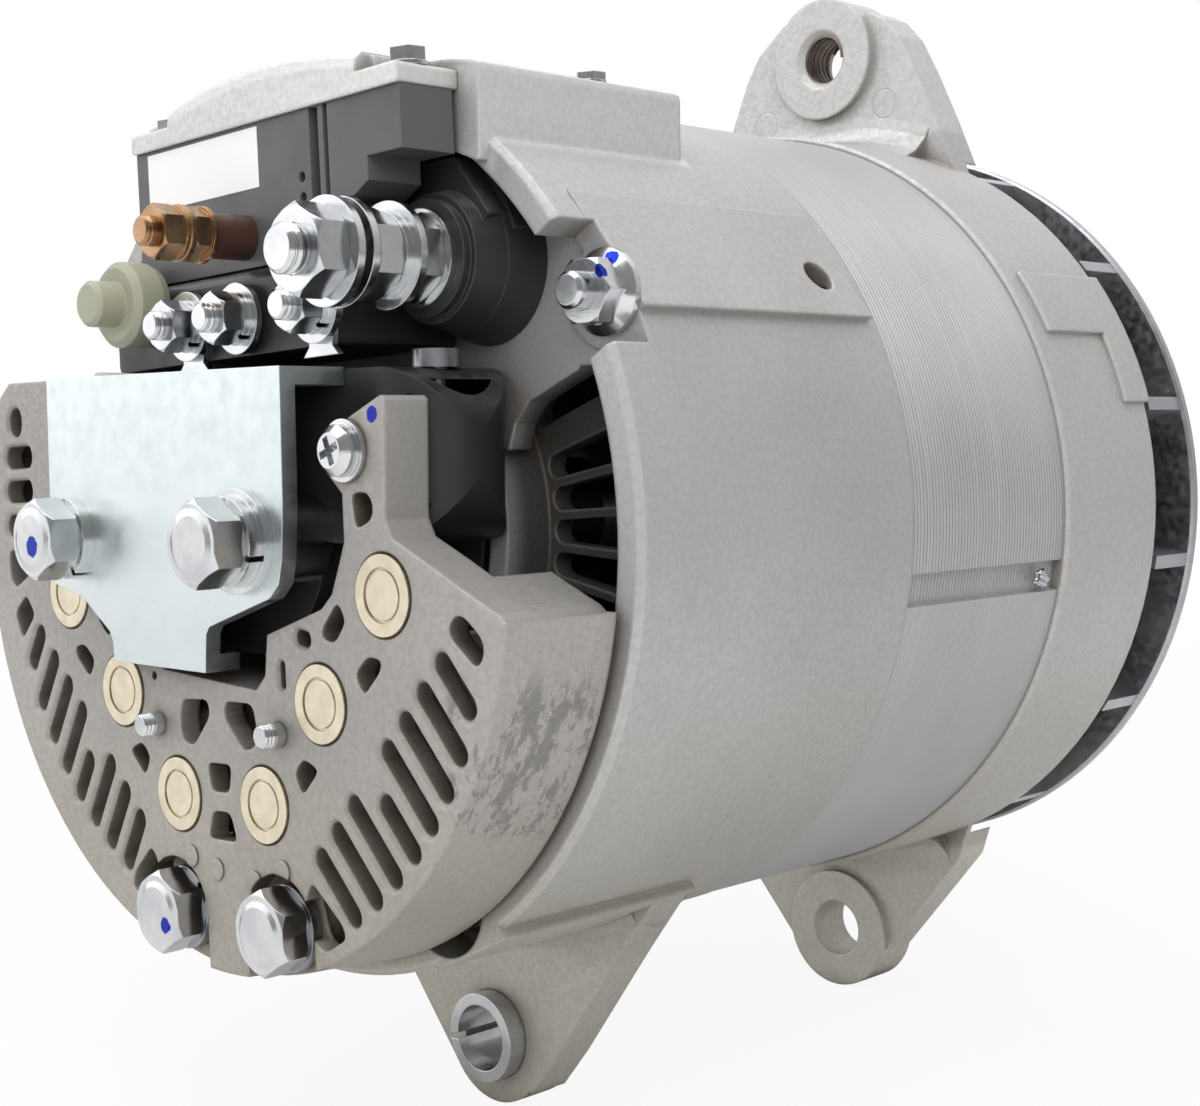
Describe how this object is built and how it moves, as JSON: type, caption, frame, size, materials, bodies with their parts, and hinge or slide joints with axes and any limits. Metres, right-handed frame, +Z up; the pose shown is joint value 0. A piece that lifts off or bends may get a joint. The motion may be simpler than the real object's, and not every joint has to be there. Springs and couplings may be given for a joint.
{
  "type": "alternator",
  "caption": "Heavy-duty truck alternator with hinge feet, adjusting ear, slotted rear heat sink cover, stud terminals, regulator and a claw-pole rotor behind a radial fan.",
  "frame": {"origin": "on the shaft's axis at the front face of the fan, where a pulley seats", "axes": "+Y along the shaft towards the drive end, +Z up towards the adjusting ear, the hinge feet hang towards -Z"},
  "size_m": [0.1618, 0.2706, 0.2304],
  "materials": {
    "cast": "blasted",
    "laminations": "machined",
    "copper_wire": "enamelled",
    "zinc": "zinc plated",
    "nickel": "satin",
    "spring_steel": "satin",
    "bracket_zinc": "zinc plated",
    "black_plastic": "moulded",
    "brown_plastic": "moulded",
    "carbon": "satin",
    "cream_plastic": "satin",
    "cap_cast": "as cast",
    "brass": "satin",
    "bearing_steel": "ground",
    "pole_steel": "satin",
    "fan_zinc": "satin"
  },
  "bodies": {
    "frame": {"rear_housing": "cast", "front_housing": "cast", "stator_core": "laminations", "stator_windings": "copper_wire", "tie_studs": "zinc", "tie_nuts": "zinc", "heat_sink_cover": "cast", "negative_diodes": "nickel", "positive_plate": "cast", "positive_diodes": "nickel", "plate_screws": "zinc", "plate_nuts": "zinc", "cover_bolts": "zinc", "cover_lock_washers": "spring_steel", "cover_screw": "zinc", "ground_bracket": "bracket_zinc", "ground_standoffs": "zinc", "ground_bolts": "zinc", "ground_washers": "zinc", "brush_cover": "black_plastic", "brush_cover_screw": "zinc", "brush_holder": "brown_plastic", "spring_inner": "spring_steel", "spring_outer": "spring_steel", "terminal_block": "black_plastic", "battery_stud": "zinc", "battery_nuts": "zinc", "battery_washers": "zinc", "terminal_studs": "zinc", "terminal_nuts": "zinc", "terminal_washers": "zinc", "terminal_straps": "zinc", "terminal_cap": "cream_plastic", "regulator_body": "black_plastic", "regulator_cap": "cap_cast", "regulator_screws": "zinc", "regulator_terminal": "zinc", "regulator_nuts": "brass", "terminal_sleeve": "brown_plastic", "front_bearing_outer": "bearing_steel", "rear_bearing_outer": "bearing_steel", "bearing_retainer": "spring_steel", "retainer_screws": "zinc"},
    "rotor": {"shaft": "bearing_steel", "rear_pole": "pole_steel", "front_pole": "pole_steel", "field_coil": "copper_wire", "slip_rings": "copper_wire", "slip_sleeve": "black_plastic", "front_bearing_inner": "bearing_steel", "rear_bearing_inner": "bearing_steel", "fan": "fan_zinc", "fan_spacer": "bearing_steel"},
    "bushing": {"foot_bushing": "zinc"},
    "inner_brush": {"brush_inner": "carbon"},
    "outer_brush": {"brush_outer": "carbon"},
    "front_balls": {"front_bearing_balls": "bearing_steel"},
    "rear_balls": {"rear_bearing_balls": "bearing_steel"}
  },
  "joints": [
    {"name": "rotor_spin", "type": "hinge", "parent": "frame", "child": "rotor", "pos_m": [0, 0, 0], "axis": [0, 1, 0], "continuous": true},
    {"name": "front_cage_spin", "type": "hinge", "parent": "frame", "child": "front_balls", "pos_m": [0, 0, 0], "axis": [0, 1, 0], "continuous": true},
    {"name": "rear_cage_spin", "type": "hinge", "parent": "frame", "child": "rear_balls", "pos_m": [0, 0, 0], "axis": [0, 1, 0], "continuous": true},
    {"name": "bushing_slide", "type": "slide", "parent": "frame", "child": "bushing", "axis": [0, 1, 0], "range_m": [-0.001, 0.004]},
    {"name": "inner_brush_slide", "type": "slide", "parent": "frame", "child": "inner_brush", "axis": [0, 0, 1], "range_m": [0, 0.0025], "stiffness_N_per_m": 300, "springref_m": -0.01, "deforming": ["spring_inner"]},
    {"name": "outer_brush_slide", "type": "slide", "parent": "frame", "child": "outer_brush", "axis": [0, 0, 1], "range_m": [0, 0.0025], "stiffness_N_per_m": 300, "springref_m": -0.01, "deforming": ["spring_outer"]}
  ],
  "couplings": [
    {"joint": "front_cage_spin", "follows": "rotor_spin", "ratio": 0.38276},
    {"joint": "rear_cage_spin", "follows": "rotor_spin", "ratio": 0.37719}
  ]
}
